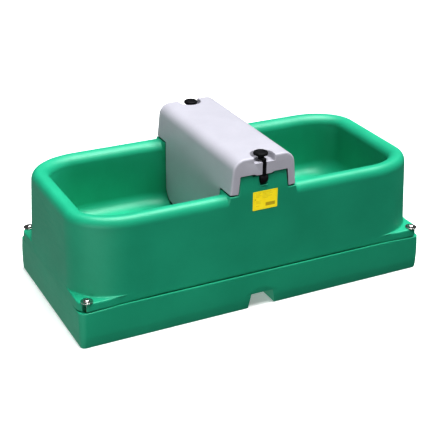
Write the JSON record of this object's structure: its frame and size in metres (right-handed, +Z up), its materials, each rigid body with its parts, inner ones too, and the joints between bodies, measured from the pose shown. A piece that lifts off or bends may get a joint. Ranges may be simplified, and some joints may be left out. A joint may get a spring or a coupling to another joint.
{
  "type": "heated water trough",
  "caption": "Long two-bowl livestock water trough with a heated floor, a base tray, a float valve under a lift-off cover and rubber latches.",
  "frame": {"origin": "on the ground under the middle of the base", "axes": "+X along the length, +Z up, front face with the label towards -Y"},
  "size_m": [1.06, 0.4994, 0.4502],
  "materials": {
    "green_shell": "moulded polyethylene, satin",
    "grey_shell": "moulded polyethylene, satin",
    "black_rubber": "moulded rubber, satin",
    "stainless": "bright stainless steel",
    "brass": "turned brass",
    "aluminium": "mill finish sheet",
    "label_film": "printed yellow film with plain bars",
    "foam": "insulating foam",
    "black_plastic": "moulded nylon",
    "box_plastic": "moulded plastic",
    "float_plastic": "foam-filled float",
    "cable_sheath": "extruded sheath"
  },
  "bodies": {
    "trough": {"base_gasket": "black_rubber", "base_tray": "green_shell", "bowl_insulation": "foam", "corner_bolt_bl": "stainless", "corner_bolt_br": "stainless", "corner_bolt_fl": "stainless", "corner_bolt_fr": "stainless", "corner_insert_bl": "brass", "corner_insert_br": "brass", "corner_insert_fl": "brass", "corner_insert_fr": "brass", "corner_washer_bl": "stainless", "corner_washer_br": "stainless", "corner_washer_fl": "stainless", "corner_washer_fr": "stainless", "drain_body": "black_plastic", "drain_locknut": "black_plastic", "drain_seal": "black_rubber", "gland_body": "black_plastic", "gland_cap": "black_plastic", "gland_locknut": "black_plastic", "heat_spreader_left": "aluminium", "heat_spreader_right": "aluminium", "heating_cable_left": "cable_sheath", "heating_cable_right": "cable_sheath", "junction_box": "box_plastic", "junction_lid": "box_plastic", "lever_pin": "stainless", "lid_screw_1": "stainless", "lid_screw_2": "stainless", "lid_screw_3": "stainless", "lid_screw_4": "stainless", "rating_label": "label_film", "riser_locknut": "brass", "riser_seal": "black_rubber", "supply_riser": "brass", "thermostat": "black_plastic", "trough_tub": "green_shell", "valve_body": "brass", "valve_union_nut": "brass"},
    "cover": {"cover_shell": "grey_shell", "cover_core": "foam"},
    "latch_front": {"latch_front": "black_rubber"},
    "latch_back": {"latch_back": "black_rubber"},
    "float_lever": {"lever_arm": "brass", "float": "float_plastic", "float_nut": "brass"},
    "plunger": {"valve_plunger": "brass"},
    "plug": {"drain_plug": "black_rubber"}
  },
  "joints": [
    {"name": "cover_lift", "type": "slide", "parent": "trough", "child": "cover", "axis": [0, 0, 1], "range_m": [0, 0.28]},
    {"name": "latch_front_swing", "type": "hinge", "parent": "cover", "child": "latch_front", "pos_m": [0, -0.229, 0.379], "axis": [1, 0, 0], "range_deg": [0, 75]},
    {"name": "latch_back_swing", "type": "hinge", "parent": "cover", "child": "latch_back", "pos_m": [0, 0.229, 0.379], "axis": [-1, 0, 0], "range_deg": [0, 75]},
    {"name": "float_swing", "type": "hinge", "parent": "trough", "child": "float_lever", "pos_m": [0, 0.07, 0.297], "axis": [-1, 0, 0], "range_deg": [0, 30]},
    {"name": "plunger_slide", "type": "slide", "parent": "trough", "child": "plunger", "axis": [0, 1, 0], "range_m": [0, 0.007]},
    {"name": "drain_plug_lift", "type": "slide", "parent": "trough", "child": "plug", "axis": [0, 0, 1], "range_m": [0, 0.06]}
  ],
  "couplings": [
    {"joint": "plunger_slide", "follows": "float_swing", "m_per_rad": 0.0129}
  ]
}
